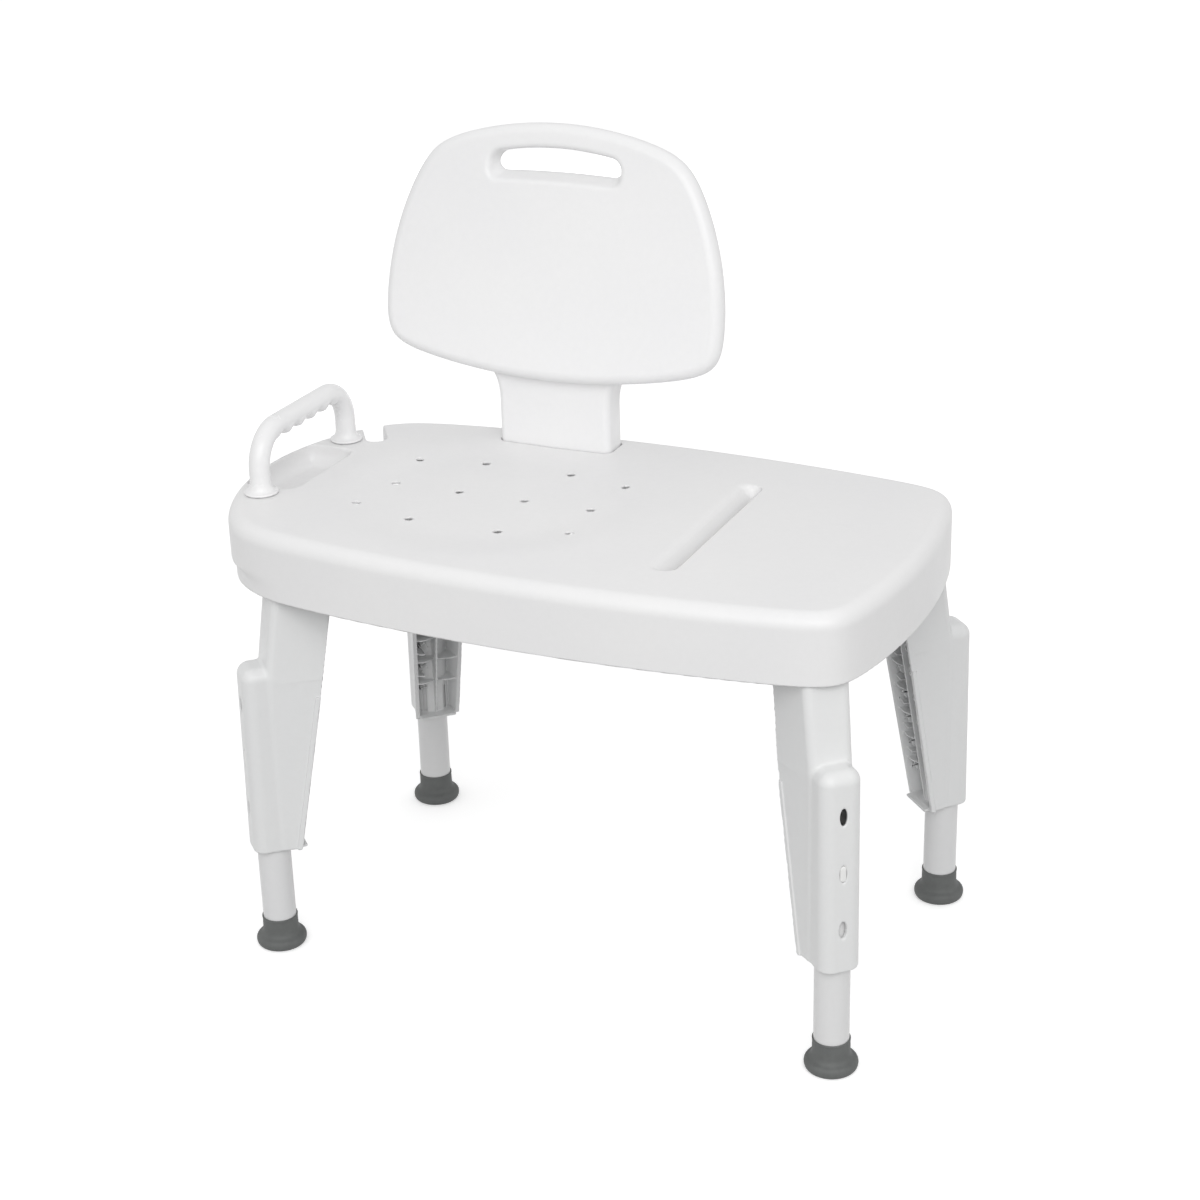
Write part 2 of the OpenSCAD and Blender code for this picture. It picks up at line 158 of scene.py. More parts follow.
# the four cells round a grid edge that runs along x, y or z
RINGS = (((0, -1, -1), (0, 0, -1), (0, 0, 0), (0, -1, 0)),
         ((-1, 0, -1), (-1, 0, 0), (0, 0, 0), (0, 0, -1)),
         ((-1, -1, 0), (0, -1, 0), (0, 0, 0), (-1, 0, 0)))


def sample(f, lo, hi, h):
    """Grid lines of pitch h and the values of f, worked out finely only near the surface."""
    axes = []
    for low, high in zip(lo, hi):
        n = int(math.ceil((high - low + 3 * h) / h / BLOCK)) * BLOCK
        axes.append(low - 1.5 * h + h * np.arange(n + 1))
    middles = [a[:-1:BLOCK] + h * BLOCK / 2 for a in axes]
    gx, gy, gz = np.meshgrid(*middles, indexing="ij")
    coarse = f(gx.ravel(), gy.ravel(), gz.ravel()).reshape(gx.shape)
    near = np.abs(coarse) < 1.3 * (math.sqrt(3) * BLOCK * h / 2) + h

    def spread(c):
        for axis in range(3):
            c = np.repeat(c, BLOCK, axis=axis)
        return np.pad(c, ((0, 1), (0, 1), (0, 1)), mode="edge")

    values = spread(coarse).astype(np.float32)
    fine = spread(near)
    for axis in range(3):  # the plane between two blocks belongs to both
        planes = np.moveaxis(fine, axis, 0)
        planes[BLOCK::BLOCK] |= planes[BLOCK - 1::BLOCK]
    at = np.nonzero(fine)
    values[at] = f(axes[0][at[0]], axes[1][at[1]], axes[2][at[2]])
    return axes, values


def nets(axes, values, h):
    """Surface nets: a point in each crossed cell, and a quad round each crossed grid edge."""
    n = [len(a) - 1 for a in axes]
    inside = values < 0
    count = np.zeros(n, np.uint8)
    for dx, dy, dz in CORNERS:
        count += inside[dx:n[0] + dx, dy:n[1] + dy, dz:n[2] + dz]
    cell = np.nonzero((count > 0) & (count < 8))
    ids = np.full(n, -1, np.int32)
    ids[cell] = np.arange(len(cell[0]))
    base = np.stack(cell, 1)

    # each point is the mean of the crossings on its cell's edges
    total = np.zeros((len(base), 3))
    times = np.zeros(len(base))
    value = {c: values[cell[0] + c[0], cell[1] + c[1], cell[2] + c[2]] for c in CORNERS}
    for c in CORNERS:
        for axis in range(3):
            if c[axis]:
                continue
            end = list(c)
            end[axis] = 1
            va, vb = value[c], value[tuple(end)]
            cross = (va < 0) != (vb < 0)
            p = np.array(c, float) + np.zeros((len(base), 3))
            p[:, axis] = np.where(cross, va / np.where(cross, va - vb, 1), 0)
            total += np.where(cross[:, None], p, 0)
            times += cross
    start = np.array([a[0] for a in axes])
    pts = start + (base + total / times[:, None]) * h

    quads = []
    for axis, ring in enumerate(RINGS):
        planes = np.moveaxis(inside, axis, 0)
        first = np.moveaxis(planes[:-1], 0, axis)
        second = np.moveaxis(planes[1:], 0, axis)
        e = np.stack(np.nonzero(first != second), 1)
        e = e[np.all([(e[:, k] > 0) & (e[:, k] < n[k]) for k in range(3) if k != axis], axis=0)]
        q = np.stack([ids[e[:, 0] + o[0], e[:, 1] + o[1], e[:, 2] + o[2]] for o in ring], 1)
        flip = second[e[:, 0], e[:, 1], e[:, 2]]
        q[flip] = q[flip][:, ::-1]
        quads.append(q)
    quads = np.concatenate(quads)
    return pts, quads[(quads >= 0).all(1)]


def gradient(f, p, reach=0.12):
    g = np.zeros_like(p)
    for k in range(3):
        d = np.zeros(3)
        d[k] = reach
        g[:, k] = (f(*(p + d).T) - f(*(p - d).T)) / (2 * reach)
    return g


def settle(f, p, limit):
    """Points moved onto the surface f = 0, none further than the limit."""
    g = gradient(f, p)
    d = -(f(*p.T) / np.maximum((g * g).sum(1), 0.05))[:, None] * g
    far = np.linalg.norm(d, axis=1)
    return p + d * np.minimum(1, limit / np.maximum(far, 1e-9))[:, None]


def neighbour_mean(pts, quads):
    total = np.zeros_like(pts)
    times = np.zeros(len(pts))
    for k in range(4):
        u, w = quads[:, k], quads[:, (k + 1) % 4]
        for i in range(3):
            total[:, i] += np.bincount(u, pts[w, i], len(pts)) + np.bincount(w, pts[u, i], len(pts))
        times += np.bincount(u, minlength=len(pts)) + np.bincount(w, minlength=len(pts))
    return total / np.maximum(times, 1)[:, None]


def slim(pts, faces, target):
    """The same surface with about target triangles, kept where it curves."""
    mesh = bpy.data.meshes.new("slim")
    mesh.from_pydata(pts.tolist(), [], faces.tolist())
    o = bpy.data.objects.new("slim", mesh)
    bpy.context.scene.collection.objects.link(o)
    less = o.modifiers.new("less", "DECIMATE")
    less.ratio = min(1.0, target / (2 * len(faces)))
    less.use_collapse_triangulate = True
    done = o.evaluated_get(bpy.context.evaluated_depsgraph_get()).to_mesh()
    done.calc_loop_triangles()
    co = np.empty(3 * len(done.vertices), np.float32)
    done.vertices.foreach_get("co", co)
    tri = np.empty(3 * len(done.loop_triangles), np.int32)
    done.loop_triangles.foreach_get("vertices", tri)
    bpy.data.objects.remove(o)
    bpy.data.meshes.remove(mesh)
    return co.reshape(-1, 3).astype(float), tri.reshape(-1, 3)


def surface(f, lo, hi, h, target):
    """Points, faces and smooth normals of the surface f = 0, from a grid of pitch h."""
    pts, faces = nets(*sample(f, lo, hi, h), h)
    pts = settle(f, pts, 0.6 * h)
    pts = settle(f, pts + 0.6 * (neighbour_mean(pts, faces) - pts), 0.5 * h)
    if 2 * len(faces) > target:
        pts, faces = slim(pts, faces, target)
    pts = settle(f, pts, 0.1 * h)
    normals = gradient(f, pts)
    normals /= np.maximum(np.linalg.norm(normals, axis=1), 1e-9)[:, None]
    return pts, faces, normals


def piece(name, pts, faces, normals, material, body, node, slot):
    """A smooth mesh object that rides on a body and stands for a CAD node."""
    mesh = bpy.data.meshes.new(name)
    pts = np.asarray(pts, float) * MM
    side = faces.shape[1]
    mesh.vertices.add(len(pts))
    mesh.vertices.foreach_set("co", pts.ravel().astype(np.float32))
    mesh.loops.add(faces.size)
    mesh.loops.foreach_set("vertex_index", faces.ravel().astype(np.int32))
    mesh.polygons.add(len(faces))
    mesh.polygons.foreach_set("loop_start", np.arange(0, faces.size, side, dtype=np.int32))
    mesh.update(calc_edges=True)
    mesh.validate()
    mesh.shade_smooth()
    if normals is not None and len(mesh.vertices) == len(normals):
        mesh.normals_split_custom_set_from_vertices(normals.astype(np.float32))
    o = bpy.data.objects.new(name, mesh)
    bpy.context.scene.collection.objects.link(o)
    o.data.materials.append(material)
    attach(o, body)
    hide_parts(node)


# ---------------------------------------------------------------- materials
class Finish:
    """A material with the few nodes that the finishes below are made of."""

    def __init__(self, name):
        self.material = bpy.data.materials.new(name)
        self.material.use_nodes = True
        self.tree = self.material.node_tree
        self.shader = self.tree.nodes["Principled BSDF"]
        self.where = self.tree.nodes.new("ShaderNodeTexCoord").outputs["Object"]

    def link(self, out, socket):
        self.tree.links.new(out, socket)

    def to_shader(self, out, name):
        self.link(out, self.shader.inputs[name])

    def noise(self, scale, detail, roughness=0.5):
        n = self.tree.nodes.new("ShaderNodeTexNoise")
        n.inputs["Scale"].default_value = scale
        n.inputs["Detail"].default_value = detail
        n.inputs["Roughness"].default_value = roughness
        self.link(self.where, n.inputs["Vector"])
        return n.outputs["Fac"]

    def remap(self, value, lo, hi, new_lo, new_hi):
        n = self.tree.nodes.new("ShaderNodeMapRange")
        n.inputs["From Min"].default_value = lo
        n.inputs["From Max"].default_value = hi
        n.inputs["To Min"].default_value = new_lo
        n.inputs["To Max"].default_value = new_hi
        self.link(value, n.inputs["Value"])
        return n.outputs["Result"]

    def mix(self, fac, a, b, blend="MIX"):
        """Mix of two colours, of which the first may come from another node."""
        n = self.tree.nodes.new("ShaderNodeMix")
        n.data_type = "RGBA"
        n.blend_type = blend
        if isinstance(a, tuple):
            n.inputs[6].default_value = a
        else:
            self.link(a, n.inputs[6])
        n.inputs[7].default_value = b
        self.link(fac, n.inputs[0])
        return n.outputs[2]

    def ramp(self, fac, a, b, start=0.0, end=1.0):
        n = self.tree.nodes.new("ShaderNodeValToRGB")
        first, last = n.color_ramp.elements
        first.position, first.color = start, a
        last.position, last.color = end, b
        self.link(fac, n.inputs["Fac"])
        return n.outputs["Color"]

    def bump(self, height, strength, distance, normal=None):
        n = self.tree.nodes.new("ShaderNodeBump")
        n.inputs["Strength"].default_value = strength
        n.inputs["Distance"].default_value = distance
        self.link(height, n.inputs["Height"])
        if normal is not None:
            self.link(normal, n.inputs["Normal"])
        return n.outputs["Normal"]


def plastic(name, colour, rough, grain=1.0, flow=1.0):
    """Moulded plastic: drift of tone, fine mottling, worn patches, moulded grain and flow waves."""
    m = Finish(name)
    red, green, blue = colour
    duller = (red * 0.982, green * 0.984, blue * 0.988, 1)
    brighter = (min(1, red * 1.012), min(1, green * 1.012), min(1, blue * 1.008), 1)
    drift = m.remap(m.noise(5.0, 3.0), 0.3, 0.7, 0.0, 1.0)
    mottle = m.remap(m.noise(160.0, 4.0, 0.6), 0.3, 0.7, 0.0, 1.0)
    tone = m.mix(mottle, m.mix(drift, duller, brighter), (0.985, 0.985, 0.985, 1), "MULTIPLY")
    m.to_shader(tone, "Base Color")
    worn = m.remap(m.noise(14.0, 5.0, 0.65), 0.35, 0.7, rough - 0.05 * flow, rough + 0.06 * flow)
    m.to_shader(worn, "Roughness")
    wave = m.bump(m.noise(26.0, 2.0), 0.05 * flow, 0.004)
    m.to_shader(m.bump(m.noise(1500.0, 2.0), 0.10 * grain, 0.0004, wave), "Normal")
    m.shader.inputs["IOR"].default_value = 1.49
    return m.material


def rubber(name):
    m = Finish(name)
    patches = m.noise(60.0, 6.0, 0.65)
    dark, light = (0.100, 0.105, 0.103, 1), (0.138, 0.144, 0.141, 1)
    m.to_shader(m.ramp(patches, dark, light, 0.3, 0.75), "Base Color")
    m.to_shader(m.remap(patches, 0.0, 1.0, 0.5, 0.78), "Roughness")
    m.to_shader(m.bump(m.noise(900.0, 3.0), 0.25, 0.0004), "Normal")
    return m.material


def steel(name, rough):
    m = Finish(name)
    m.shader.inputs["Metallic"].default_value = 1.0
    specks = m.noise(220.0, 4.0)
    m.to_shader(m.ramp(specks, (0.50, 0.50, 0.51, 1), (0.66, 0.66, 0.67, 1)), "Base Color")
    m.to_shader(m.remap(specks, 0.0, 1.0, rough - 0.08, rough + 0.08), "Roughness")
    return m.material


deck_mat = plastic("deck_plastic", (0.805, 0.802, 0.804), 0.42)
back_mat = plastic("back_plastic", (0.832, 0.830, 0.834), 0.36)
handle_mat = plastic("handle_plastic", (0.818, 0.816, 0.820), 0.27, 0.7, 0.3)
bracket_mat = plastic("bracket_plastic", (0.756, 0.760, 0.760), 0.39)
tube_mat = plastic("tube_plastic", (0.735, 0.735, 0.737), 0.34, 0.5)
button_mat = plastic("button_plastic", (0.82, 0.82, 0.81), 0.36, 0.5)
rubber_mat = rubber("tip_rubber")
screw_mat = steel("screw_steel", 0.35)
spring_mat = steel("spring_steel", 0.28)

# ---------------------------------------------------------------- seat deck
SIDE_R, RIGHT_R, LEFT_R = 1800.0, 610.0, 243.0
deck_line = Outline([(19, SIDE_R - DECK_D / 2, SIDE_R), (19, DECK_D / 2 - SIDE_R, SIDE_R),
                     (DECK_L / 2 - RIGHT_R, 0, RIGHT_R), (LEFT_R - DECK_L / 2, 0, LEFT_R, 1)],
                    (22, 22))
RIM_R, RIM_R_INSIDE = 15.0, 14.0           # rounding of the deck's upper edge
DISH_DEPTH, DISH_IN, DISH_OUT = 4.0, 106, 170
BAND_DEPTH, BAND_H = 4.0, 20               # set-back band round the left end
RIB_HALF, RIB_DEPTH = 1.2, 28
DRAIN_R = 4.0
GROOVE_X, GROOVE_Y, GROOVE_DEPTH = 145, -8, 16
GROOVE_EDGE, GROOVE_HALF_L = 10.5, 116     # its steep side and half its length
TRAY_X, TRAY_DEPTH = -DECK_L / 2 + 41, 22
NOTCH_X, NOTCH_Y, NOTCH_R = -281, 104, 11.0
NOTCH_OUT = (-0.57358, 0.81915)            # the way out of the hose notch
NECK_Y = 162.0                             # middle of the backrest's neck and of its socket


def drain(x, y):
    """The twelve drain holes in the seat."""
    ax, ay = np.abs(x - SEAT_X), np.abs(y)
    return union(np.hypot(ax - 36, y), np.hypot(ax - 108, y),
                 np.hypot(ax - 48, ay - 83), np.hypot(ax - 116, ay - 66)) - DRAIN_R


def leg_frame(x, y):
    """Place along and across the nearest leg's own line, which points out to its corner."""
    ax, ay = np.abs(x - LEG_X) - LEG_HALF, np.abs(y) - LEG_Y
    return (ax + ay) * COS45, (ay - ax) * COS45


def deck(x, y, z):
    # shell: a skirted plate with a dished seat and a set-back band round the left end, which
    # softens and fades out along the front, and in the notch at the rear
    line = deck_line(x, y)
    turn = np.abs(np.degrees(np.arctan2(y, x)) % 360 - 180) + np.where(y > 0, 8.0, 0.0)
    soft = 1.6 + 16.0 * step(27, 33, turn)
    band = (1 - step(28, 38, turn)) * step(0, 1, (SKIRT_Z + BAND_H + 0.3 * soft - z) / soft)
    side = line + BAND_DEPTH * band
    top = TOP_Z - DISH_DEPTH * (1 - step(DISH_IN, DISH_OUT, np.hypot(x - SEAT_X, y)))
    outer = rmax(side, z - top, RIM_R)
    outer = rmax(outer, SKIRT_Z - z, 1.4)
    inner = rmax(side + WALL, z - (top - WALL), RIM_R_INSIDE)
    body = smax(outer, -inner, 0.8)
    within = outer + 1.5  # keeps what is inside from showing through the rounded rim

    # ribs, with room left for the leg brackets and the drain holes, and the screw bosses
    hole = drain(x, y)
    out, across = leg_frame(x, y)
    rib_x = np.where((x > -265) & (x < 262), stripes(x, -250, 62, RIB_HALF), 20.0)
    rib_y = np.where((np.abs(y) < 140) & (x > -262), stripes(y, 0, 63, RIB_HALF), 20.0)
    rib = meet(union(rib_x, rib_y), (TOP_Z - RIB_DEPTH) - z,
               -box2(out + 56, across, 46, 38, 3), 4.5 - hole)
    for q in LEG_SCREWS:
        rib = union(rib, meet(np.hypot(out - q, across) - 5.5, 440 - z))
    body = smin(body, meet(rib, within), 1.6)

    # the groove's right side is steep, and its left side slopes more softly near the top
    gx, gy = x - GROOVE_X, y - GROOVE_Y
    depth = np.clip((TOP_Z - z) / GROOVE_DEPTH, 0, 1.2)
    slope = -16.0 + 11.0 * depth ** 0.4 + 5.0 * depth
    half = (GROOVE_EDGE - slope) / 2
    groove = box2(gx - GROOVE_EDGE + half, gy, half, GROOVE_HALF_L - 3.5 * depth,
                  np.minimum(half, 9.0)) * 0.8
    groove = rmax(groove, (TOP_Z - GROOVE_DEPTH) - z, 2.5)
    groove_wall = rmax(box2(gx + 1.5, gy, 15.5, 119.5, 12.0), (TOP_Z - 19.5) - z, 4.0)

    tray_line = rmax(line + 9, box2(x - TRAY_X, y, 31.0, 63, 15), 6.0)
    tray = rmax(tray_line, (TOP_Z - TRAY_DEPTH) - z, 15.0)
    tray_wall = rmax(tray_line - WALL, (TOP_Z - TRAY_DEPTH - WALL) - z, 16.0)
    tray_rim = meet(tray_line - 8, (TOP_Z - 8) - z)

    nx = (x - NOTCH_X) * NOTCH_OUT[0] + (y - NOTCH_Y) * NOTCH_OUT[1]
    ny = (y - NOTCH_Y) * NOTCH_OUT[0] - (x - NOTCH_X) * NOTCH_OUT[1]
    notch = np.where(nx < 0, np.hypot(nx, ny), np.abs(ny)) - NOTCH_R
    notch_wall = meet(notch - WALL, SKIRT_Z - z)

    px, py = x - SEAT_X, y - NECK_Y
    socket_wall = meet(box2(px, py, 59.5, 16.0, 3), (TOP_Z - 60) - z)
    socket = meet(box2(px, py, 56.3, 12.8, 2), (TOP_Z - 62) - z)
    neck_seat = meet(box2(px, py, 63.9, 18.4, 8), (TOP_Z - 5.0) - z)
    post = np.hypot(x - HANDLE_X, np.abs(y - HANDLE_Y) - HANDLE_HALF)
    post_boss = meet(post - 13, (TOP_Z - 20) - z)

    walls = union(groove_wall, tray_wall, tray_rim, notch_wall, socket_wall, post_boss)
    body = smin(body, meet(walls, within), 1.6)
    upper = step(TOP_Z - 7, TOP_Z - 3, z)  # edges are softened only near the top
    body = smax(body, -groove, 0.8 + 2.5 * upper * np.clip(0.5 - gx / 8, 0, 1))
    body = smax(body, -tray, 0.8 + upper * (0.8 + 3 * np.clip((x + 300) / 14, 0, 1)))
    body = smax(body, -notch, 2.4)
    body = smax(body, -socket, 0.8)
    body = smax(body, -neck_seat, 0.8)
    # thin plate round each drain hole, apart from the three at the left
    body = smax(body, -meet(hole - 5.5, z - (top - 2.3), -195 - x), 1.5)
    body = smax(body, -hole, 0.9)
    body = smax(body, 3.0 - post, 0.6)
    for q in LEG_SCREWS:
        body = meet(body, -meet(np.hypot(out - q, across) - 2.0, z - 451))
    return body


DECK_BOX = (-DECK_L / 2, -200, SKIRT_Z), (DECK_L / 2, 200, TOP_Z)
piece("deck_shell", *surface(deck, *DECK_BOX, 1.9, 170000),
      deck_mat, "bench", "seat_deck", "deck_plastic")

# ---------------------------------------------------------------- backrest
LEAN = math.radians(11)
BACK_T, PANEL_Y = 22.0, 111.0
PANEL_MID = 190.0                          # middle of the outline, up the panel from the deck
back_line = Outline([(0, 333 - 375 - PANEL_MID, 375), (0, 73 + 700 - PANEL_MID, 700),
                     (189 - 300, 141 - PANEL_MID, 300), (300 - 189, 141 - PANEL_MID, 300)],
                    (25, 15))
NECK_W, NECK_T = 126.0, 35.0
SLOT_R, SLOT_TOP, SLOT_SILL, SLOT_HALF = 330, 308, 284.5, 69


def backrest(x, y, z):
    # u runs across the panel, w up it, and v from its front face to its back
    u = x - SEAT_X
    yy, zz = y - (PANEL_Y + BACK_T), z - TOP_Z
    w = yy * math.sin(LEAN) + zz * math.cos(LEAN)
    v = -yy * math.cos(LEAN) + zz * math.sin(LEAN)
    panel = rmax(back_line(u, w - PANEL_MID), v - BACK_T, 11.5)
    panel = rmax(panel, -v, 9.5)
    # hand slot: bowed, with a wide rolled edge at the front
    front = step(4, 20, v)
    arch = np.hypot(u, w - SLOT_TOP + SLOT_R) - SLOT_R
    sill = (SLOT_SILL - 7.5 * front - 0.0004 * u * u) - w
    slot = rmax(rmax(arch, sill, 11.0), np.abs(u) - SLOT_HALF - 3 * front, 10.0)
    panel = smax(panel, -slot, 4.0 + 3.0 * step(6, 20, v))
    # neck: upright box, flared under the panel
    rise = np.clip((zz - 38) / 42, 0, 1.3)
    half = NECK_W / 2 + 12.0 * rise ** 3
    neck = box2(u * NECK_W / 2 / half, y - NECK_Y, NECK_W / 2, NECK_T / 2, 7.5) * 0.97
    slope = (y - (NECK_Y + NECK_T / 2 - 12)) * 0.94 + (zz - 118) * 0.34
    neck = rmax(neck, zz - 128, 8.0)
    neck = smax(neck, slope, 12.0)
    neck = rmax(neck, TOP_Z - 3.2 - z, 1.0)
    body = smin(panel, neck, 3.0 + 12.0 * step(165, 182, y))
    # hollow plug that goes into the deck's socket
    plug = box2(u, y - NECK_Y, 56, 12.5, 2.0)
    plug = rmax(meet(plug, z - TOP_Z), (TOP_Z - 58) - z, 1.5)
    plug = smax(plug, -meet(box2(u, y - NECK_Y, 53, 9.5, 1.5), z - (TOP_Z - 4)), 0.5)
    return smin(body, plug, 0.8)


BACK_BOX = [1000 * c for c in back_lo], [1000 * c for c in back_hi]
piece("backrest_shell", *surface(backrest, *BACK_BOX, 1.9, 70000),
      back_mat, "backrest", "backrest", "back_plastic")

# ---------------------------------------------------------------- grab handle
POST_R, BEND_R = 10.5, 36.0
GRIP_Z = 1000 * grip_hi.z - POST_R
FLANGE_R, FLANGE_H = 17.0, 3.2
DIP_PITCH = 23.5


def handle(x, y, z):
    xx, yy = x - HANDLE_X, y - HANDLE_Y
    qx = np.abs(yy) - HANDLE_HALF + BEND_R
    qz = z - GRIP_Z + BEND_R
    corner = np.hypot(np.maximum(qx, 0), np.maximum(qz, 0)) + np.minimum(np.maximum(qx, qz), 0)
    path = np.abs(corner - BEND_R)
    # the grip has finger dips below
    low = np.clip((GRIP_Z - 2 - z) / 9, 0, 1)
    low = low * step(64, 50, np.abs(yy - 1)) * step(GRIP_Z - 26, GRIP_Z - 12, z)
    wave = np.cos((yy + 35.5) * 2 * np.pi / DIP_PITCH)
    bar = np.hypot(path, xx) - (POST_R + low * (0.9 + 1.7 * wave))
    # each post flares into a round flange, with a screw hole up its middle
    post = np.hypot(xx, np.abs(yy) - HANDLE_HALF)
    cone = post - (POST_R - 2.4 + 6.8 * np.exp(-np.maximum(z - TOP_Z - 2.6, 0) / 6.5))
    cone = meet(cone * 0.86, z - (TOP_Z + 30))
    flange = rmax(post - FLANGE_R, z - (TOP_Z + FLANGE_H), 1.3)
    body = smin(smin(bar, cone, 2.0), flange, 2.5)
    body = rmax(body, TOP_Z - z, 0.3)
    body = smax(body, -meet(14.6 - post, z - (TOP_Z + 0.9)), 0.3)
    return smax(body, -meet(post - 2.0, z - (TOP_Z + 16)), 0.3)


HANDLE_BOX = [1000 * c for c in grip_lo], [1000 * c for c in grip_hi]
piece("handle_bar", *surface(handle, *HANDLE_BOX, 1.0, 50000),
      handle_mat, "bench", "grab_handle", "handle_plastic")

# ---------------------------------------------------------------- legs, each in its own frame
# x points out to the corner of the bench, and the tube stands on the z axis
FOOT_Z, HEAD_Z, KNEE = 114.0, 440.0, 300.0  # lower and upper end of a bracket, and its bend
BOSS_X, BOSS_DRAFT, BOSS_W, BOSS_TOP = 22.4, 2.8, 20.5, 316.0
BORE, SLEEVE, GUIDE_TOP = 17.2, 2.0, 302.0
LOCK, PITCH = 216.0, 57.5                   # height of the locked hole, and between holes
RIBS = (158, 186.5, 215, 243.5, 272, 300, 328, 356)
TUBE_R, TUBE_IN = 16.9, 14.5
PIN_HALF = 4.9                              # half of a pin's straight sides


def bracket(x, y, z):
    # open channel that narrows outwards, with the boss for the tube on its face
    above = z - KNEE
    ay = np.abs(y)
    face_x = -2 - 0.155 * np.maximum(above, 0)
    back_x = -24.5 - 0.179 * (z - FOOT_Z)
    face_w = BOSS_W + 0.02 * np.maximum(above, 0)
    back_w = np.where(above < 0, 24 + 0.032 * (z - FOOT_Z), 30 - 0.015 * above)
    taper = (back_w - face_w) / (face_x - back_x)
    side = (ay - (face_w + (face_x - x) * taper)) / np.sqrt(1 + taper * taper)
    face = (x - face_x) * np.where(above > 0, 0.988, 1.0)
    channel = rmax(side, face, 7.5)
    front = x - (BOSS_X - BOSS_DRAFT * np.clip((z - FOOT_Z) / (BOSS_TOP - 13 - FOOT_Z), 0, 1))
    boss = rmax(rmax(ay - BOSS_W, front, 13.0), z - BOSS_TOP, 12.5)
    outer = smin(channel, meet(boss, -16 - x), 3.0)
    outer = rmax(outer, FOOT_Z - z, 2.5)
    outer = meet(rmax(outer, z - HEAD_Z, 1.5), (back_x - x) * 0.98)
    hollow = rmax(side + WALL, face + WALL, 4.5)
    hollow = meet(hollow, FOOT_Z + WALL - z, z - (HEAD_Z - WALL))
    body = smax(outer, -hollow, 0.8)

    # sleeve that guides the tube, and cross ribs that dip towards the middle
    bore = np.hypot(x, y)
    body = smin(body, meet(bore - (BORE + SLEEVE), z - GUIDE_TOP, FOOT_Z - z), 1.5)
    within = meet(channel + 1.5, FOOT_Z + 1 - z, z - HEAD_Z + 1.5, x - (face_x - 1))
    for q in RIBS:
        start = back_x + 3.2 + 9 * np.clip(1 - ay / 17, 0, 1) ** 1.5
        rib = meet(np.abs(z - q - 0.10 * (ay - 12)) - 0.95, start - x)
        body = smin(body, meet(rib, within), 1.2)
    # hooked stiffeners, one rising from the wing and one curling down from the sleeve
    for q in RIBS[:-2]:
        rising = z - q - 9.5 - 0.045 * (ay - 15) ** 2
        curling = z - q + 9.0 - 5.0 * np.sin((ay - 10) * 0.35)
        hooks = union(meet(np.abs(rising) - 1.0, (back_x + 5) - x, np.abs(y - 18) - 5),
                      meet(np.abs(curling) - 1.0, (back_x + 5.5) - x, np.abs(y - 15) - 5.5))
        body = smin(body, meet(hooks, within), 1.0)
    spine = meet(ay - 1.2, (back_x + 5) - x, z - 360)
    body = smin(body, meet(spine, within), 1.4)

    # turned-out edges of the wings, and the tongue at the bottom
    lip = rmax(np.abs(side - 0.1) - 1.3, np.abs(x - back_x - 2.6) - 2.6, 0.8)
    body = smin(body, meet(lip, z - 282, FOOT_Z - z), 0.6)
    tongue = meet(np.abs(z - FOOT_Z - 1.5) - 1.5, ay - 20, (back_x - 6) - x, x + 10)
    body = smin(body, tongue, 0.8)

    # bore, slits beside it, height holes and screw holes
    body = smax(body, -meet(bore - BORE, z - (GUIDE_TOP - 1)), 0.6)
    slit = meet(np.abs(ay - 11.5) - 1.7, x + 6, np.abs(z - 132) - 14, -21 - x)
    body = smax(body, -slit, 0.8)
    for k in (-1, 0, 1):
        up = z - (LOCK + k * PITCH)
        hole = np.maximum(np.sqrt((y / 3.6) ** 2 + (up / 8.6) ** 2) - 1.0, -1) * 3.6
        body = smax(body, -meet(hole, 2 - x), 1.4)
    for q in LEG_SCREWS:
        body = meet(body, -meet(np.hypot(x - q, y) - 2.3, (HEAD_Z - 6) - z))
    return body


def tube(x, y, z):
    wall = np.abs(np.hypot(x, y) - (TUBE_R + TUBE_IN) / 2) - (TUBE_R - TUBE_IN) / 2
    ends = np.abs(z - (TUBE_LO + TUBE_HI) / 2) - (TUBE_HI - TUBE_LO) / 2
    hole = capsule2(y, z - LOCK, PIN_HALF, 3.4)
    return smax(rmax(wall, ends, 0.7), -meet(hole, -x), 0.6)


def button(x, y, z):
    up = z - LOCK
    pin = rmax(capsule2(y, up, PIN_HALF, 3.2), x - (TUBE_R + 4.0), 1.6)
    plate = rmax(box2(y, up, 6, 9.5, 1.2), np.abs(x - 11) - 1.0, 0.4)
    return smin(meet(pin, 10.4 - x), plate, 0.6)


def smooth_profile(knots, n=6):
    """Catmull-Rom points through (radius, height) knots."""
    k = np.array([knots[0]] + list(knots) + [knots[-1]], float)
    out = []
    for i in range(1, len(k) - 2):
        for t in np.arange(n) / n:
            out.append(0.5 * (2 * k[i] + (k[i + 1] - k[i - 1]) * t
                              + (2 * k[i - 1] - 5 * k[i] + 4 * k[i + 1] - k[i + 2]) * t * t
                              + (3 * k[i] - k[i - 1] - 3 * k[i + 1] + k[i + 2]) * t ** 3))
    out.append(k[-1])
    return [tuple(p) for p in out]


def lathe(profile, seg=96):
    """Rings of points round z from (radius, height) pairs, with quads between."""
    a = np.arange(seg) * 2 * np.pi / seg
    pts = np.array([[r * math.cos(t), r * math.sin(t), z] for r, z in profile for t in a])
    quads = []
    for k in range(len(profile) - 1):
        for i in range(seg):
            j = (i + 1) % seg
            quads.append([k * seg + i, k * seg + j, (k + 1) * seg + j, (k + 1) * seg + i])
    return pts, np.array(quads), None


